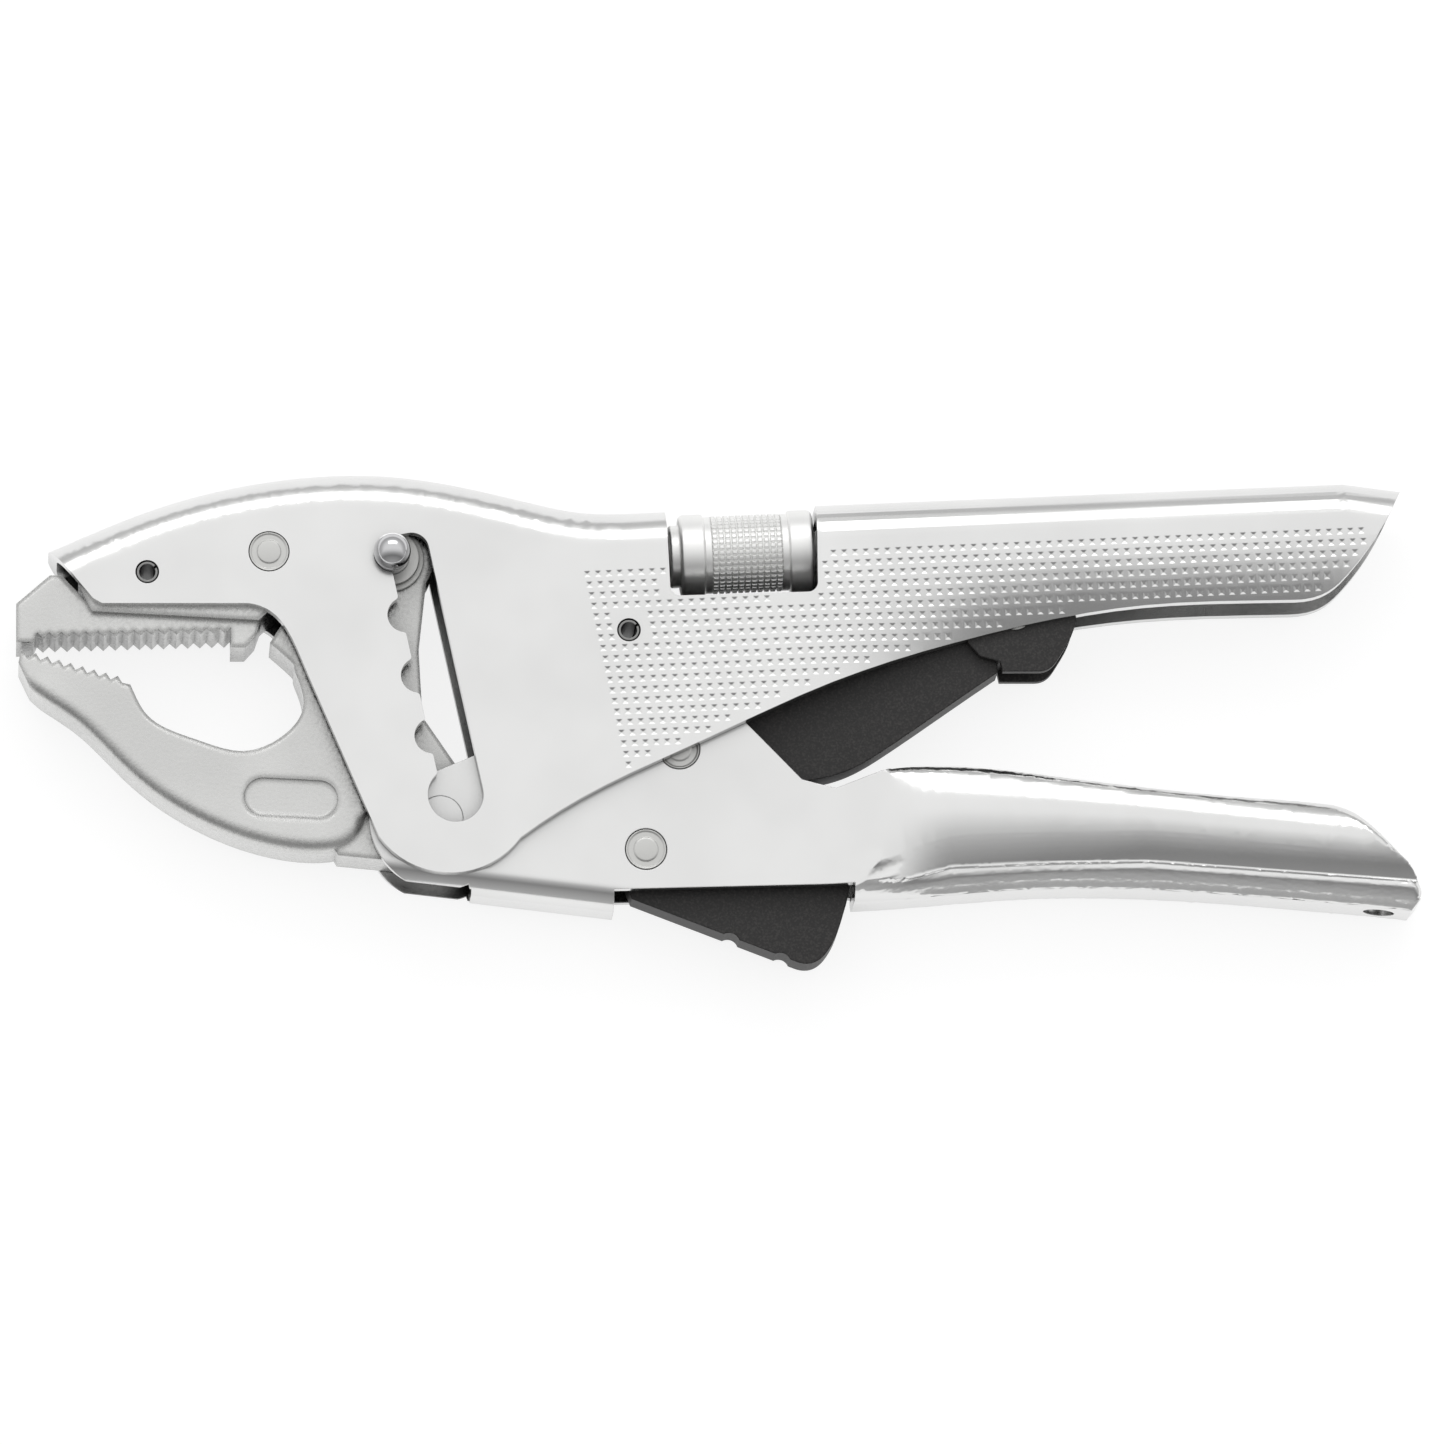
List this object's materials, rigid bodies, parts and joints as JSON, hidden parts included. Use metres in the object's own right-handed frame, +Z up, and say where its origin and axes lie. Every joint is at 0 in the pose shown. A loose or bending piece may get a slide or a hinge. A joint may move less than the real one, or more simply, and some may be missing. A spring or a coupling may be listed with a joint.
{
  "type": "locking pliers",
  "caption": "Locking pliers with a straight fixed jaw, a swinging jaw on a notched slot pivot, a toggle lever, a release trigger and a knurled adjusting nut.",
  "frame": {"origin": "bottom centre of the tool's box as it lies on one side", "axes": "+X from the jaw tips to the handle ends, +Y towards the upper handle, +Z up through the side that carries the ball-ended pin"},
  "size_m": [0.2492, 0.0884, 0.0269],
  "materials": {
    "nickel_plate": "satin nickel plate on pressed sheet",
    "lever_plate": "bright satin plate on pressed sheet",
    "forged_jaw": "blasted forged steel, plated",
    "black_steel": "black phosphate, satin",
    "rivet_steel": "satin steel",
    "polished_pin": "polished steel",
    "nut_steel": "satin plated steel",
    "spring_wire": "drawn spring wire"
  },
  "bodies": {
    "body": {"body_shell": "nickel_plate", "fixed_jaw": "forged_jaw", "fixed_jaw_rivet": "rivet_steel", "fixed_jaw_roll_pin": "rivet_steel", "spring_roll_pin": "rivet_steel"},
    "jaw": {"lower_jaw": "forged_jaw", "spring_post": "rivet_steel", "jaw_pivot_pin": "polished_pin", "pivot_collars": "rivet_steel", "jaw_handle_rivet": "rivet_steel"},
    "lever": {"handle_shell": "lever_plate", "link_rivet": "rivet_steel", "trigger_rivet": "rivet_steel", "link_spacers": "rivet_steel", "trigger_spacers": "rivet_steel"},
    "trigger": {"release_trigger": "black_steel"},
    "screw": {"adjusting_screw": "nut_steel", "yoke": "black_steel", "yoke_rivet": "rivet_steel"},
    "link": {"toggle_link": "black_steel"},
    "nut": {"adjusting_nut": "nut_steel"},
    "spring": {"return_spring": "spring_wire"}
  },
  "joints": [
    {"name": "jaw_swing", "type": "hinge", "parent": "body", "child": "jaw", "pos_m": [-0.05802, 0.02853, 0.0105], "axis": [0, 0, 1], "range_deg": [0, 14.05], "deforming": ["return_spring"]},
    {"name": "handle_swing", "type": "hinge", "parent": "jaw", "child": "lever", "pos_m": [-0.04962, -0.01867, 0.0105], "axis": [0, 0, -1], "range_deg": [0, 44]},
    {"name": "trigger_pull", "type": "hinge", "parent": "lever", "child": "trigger", "pos_m": [-0.01322, -0.02427, 0.0105], "axis": [0, 0, 1], "range_deg": [0, 8]},
    {"name": "screw_slide", "type": "slide", "parent": "body", "child": "screw", "axis": [0.999, 0.0436, 0], "range_m": [0, 0.0015]},
    {"name": "nut_turn", "type": "hinge", "parent": "body", "child": "nut", "pos_m": [0.00458, 0.03083, 0.0105], "axis": [0.999, 0.0436, 0], "range_deg": [0, 361]},
    {"name": "link_swing", "type": "hinge", "parent": "screw", "child": "link", "pos_m": [0.05298, 0.01913, 0.0105], "axis": [0, 0, 1], "range_deg": [0, 20.3]},
    {"name": "spring_swing", "type": "hinge", "parent": "body", "child": "spring", "pos_m": [-0.01602, 0.01483, 0.0105], "axis": [0, 0, 1], "range_deg": [0, 6.25]}
  ],
  "couplings": [
    {"joint": "handle_swing", "follows": "jaw_swing", "ratio": 3.125},
    {"joint": "link_swing", "follows": "jaw_swing", "ratio": 1.4375},
    {"joint": "spring_swing", "follows": "jaw_swing", "ratio": 0.44},
    {"joint": "nut_turn", "follows": "screw_slide", "rad_per_m": 4188.8}
  ]
}
